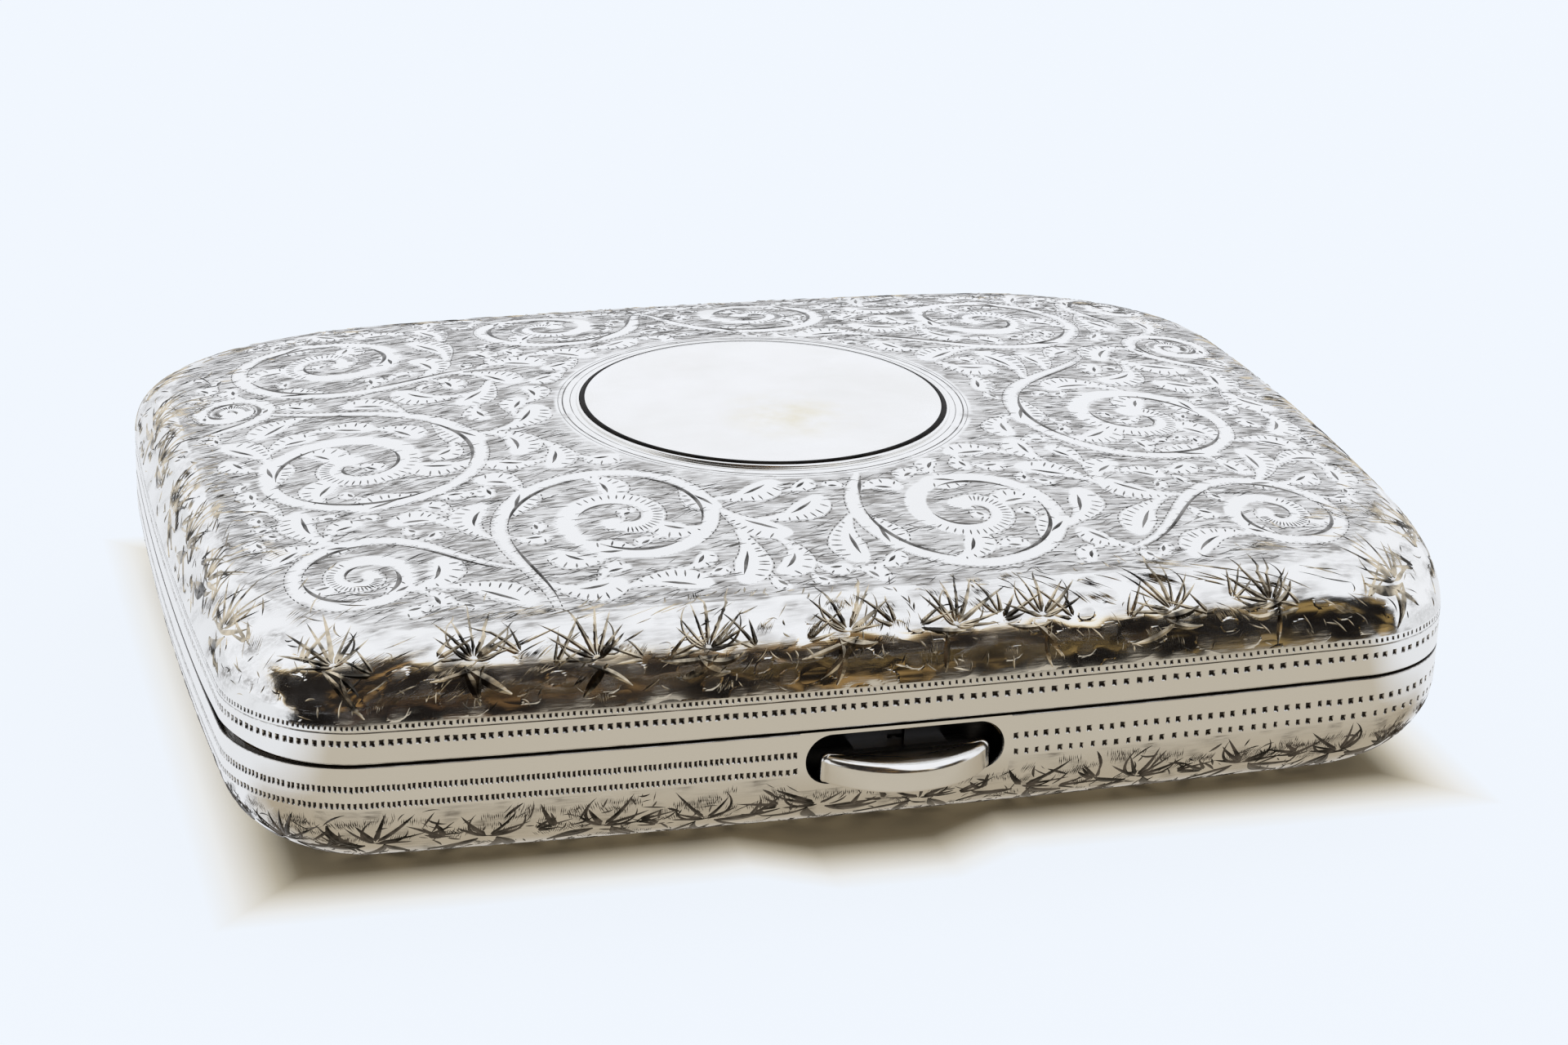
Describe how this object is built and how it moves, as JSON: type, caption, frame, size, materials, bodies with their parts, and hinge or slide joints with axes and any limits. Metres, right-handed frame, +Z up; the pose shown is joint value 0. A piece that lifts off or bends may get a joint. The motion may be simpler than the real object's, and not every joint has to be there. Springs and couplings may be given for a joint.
{
  "type": "business card case",
  "caption": "Pillow-shaped engraved silver card case: a domed lid with a plain round cartouche, hinged at the back, and a sprung push-piece catch at the front.",
  "frame": {"origin": "on the underside that the case rests on, below the middle of the case's plan outline", "axes": "+X along the width to the right, +Y from the push-piece at the front to the hinge at the back, +Z up through the lid"},
  "size_m": [0.094, 0.0754, 0.023],
  "materials": {
    "engraved_silver": "polished silver, hand engraved, with darkened cuts and a hatched ground",
    "plain_silver": "polished plain silver with fine scratches",
    "gilt_silver": "worn gilding on silver",
    "spring_steel": "blued and lightly brushed spring steel"
  },
  "bodies": {
    "base": {"base_shell": "engraved_silver", "base_frame": "gilt_silver", "base_knuckle_1": "plain_silver", "base_knuckle_2": "plain_silver", "base_knuckle_3": "plain_silver", "base_knuckle_4": "plain_silver", "hinge_pin": "spring_steel", "hinge_plug_left": "plain_silver", "hinge_plug_right": "plain_silver", "spring_pad_left": "gilt_silver", "spring_pad_right": "gilt_silver", "catch_spring": "spring_steel", "spring_rivet_left": "spring_steel", "spring_rivet_right": "spring_steel"},
    "lid": {"lid_shell": "engraved_silver", "lid_frame": "gilt_silver", "cartouche_disc": "plain_silver", "cartouche_ring": "plain_silver", "lid_knuckle_1": "plain_silver", "lid_knuckle_2": "plain_silver", "lid_knuckle_3": "plain_silver", "lid_catch_lip": "gilt_silver"},
    "push": {"thumb_piece": "plain_silver", "thumb_stem": "plain_silver", "catch_hook": "spring_steel"}
  },
  "joints": [
    {"name": "lid_hinge", "type": "hinge", "parent": "base", "child": "lid", "pos_m": [0, 0.0355, 0.0104], "axis": [-1, 0, 0], "range_deg": [0, 105]},
    {"name": "thumb_push", "type": "slide", "parent": "base", "child": "push", "axis": [0, 1, 0], "range_m": [0, 0.0009], "stiffness_N_per_m": 2000, "deforming": ["catch_spring"]}
  ]
}
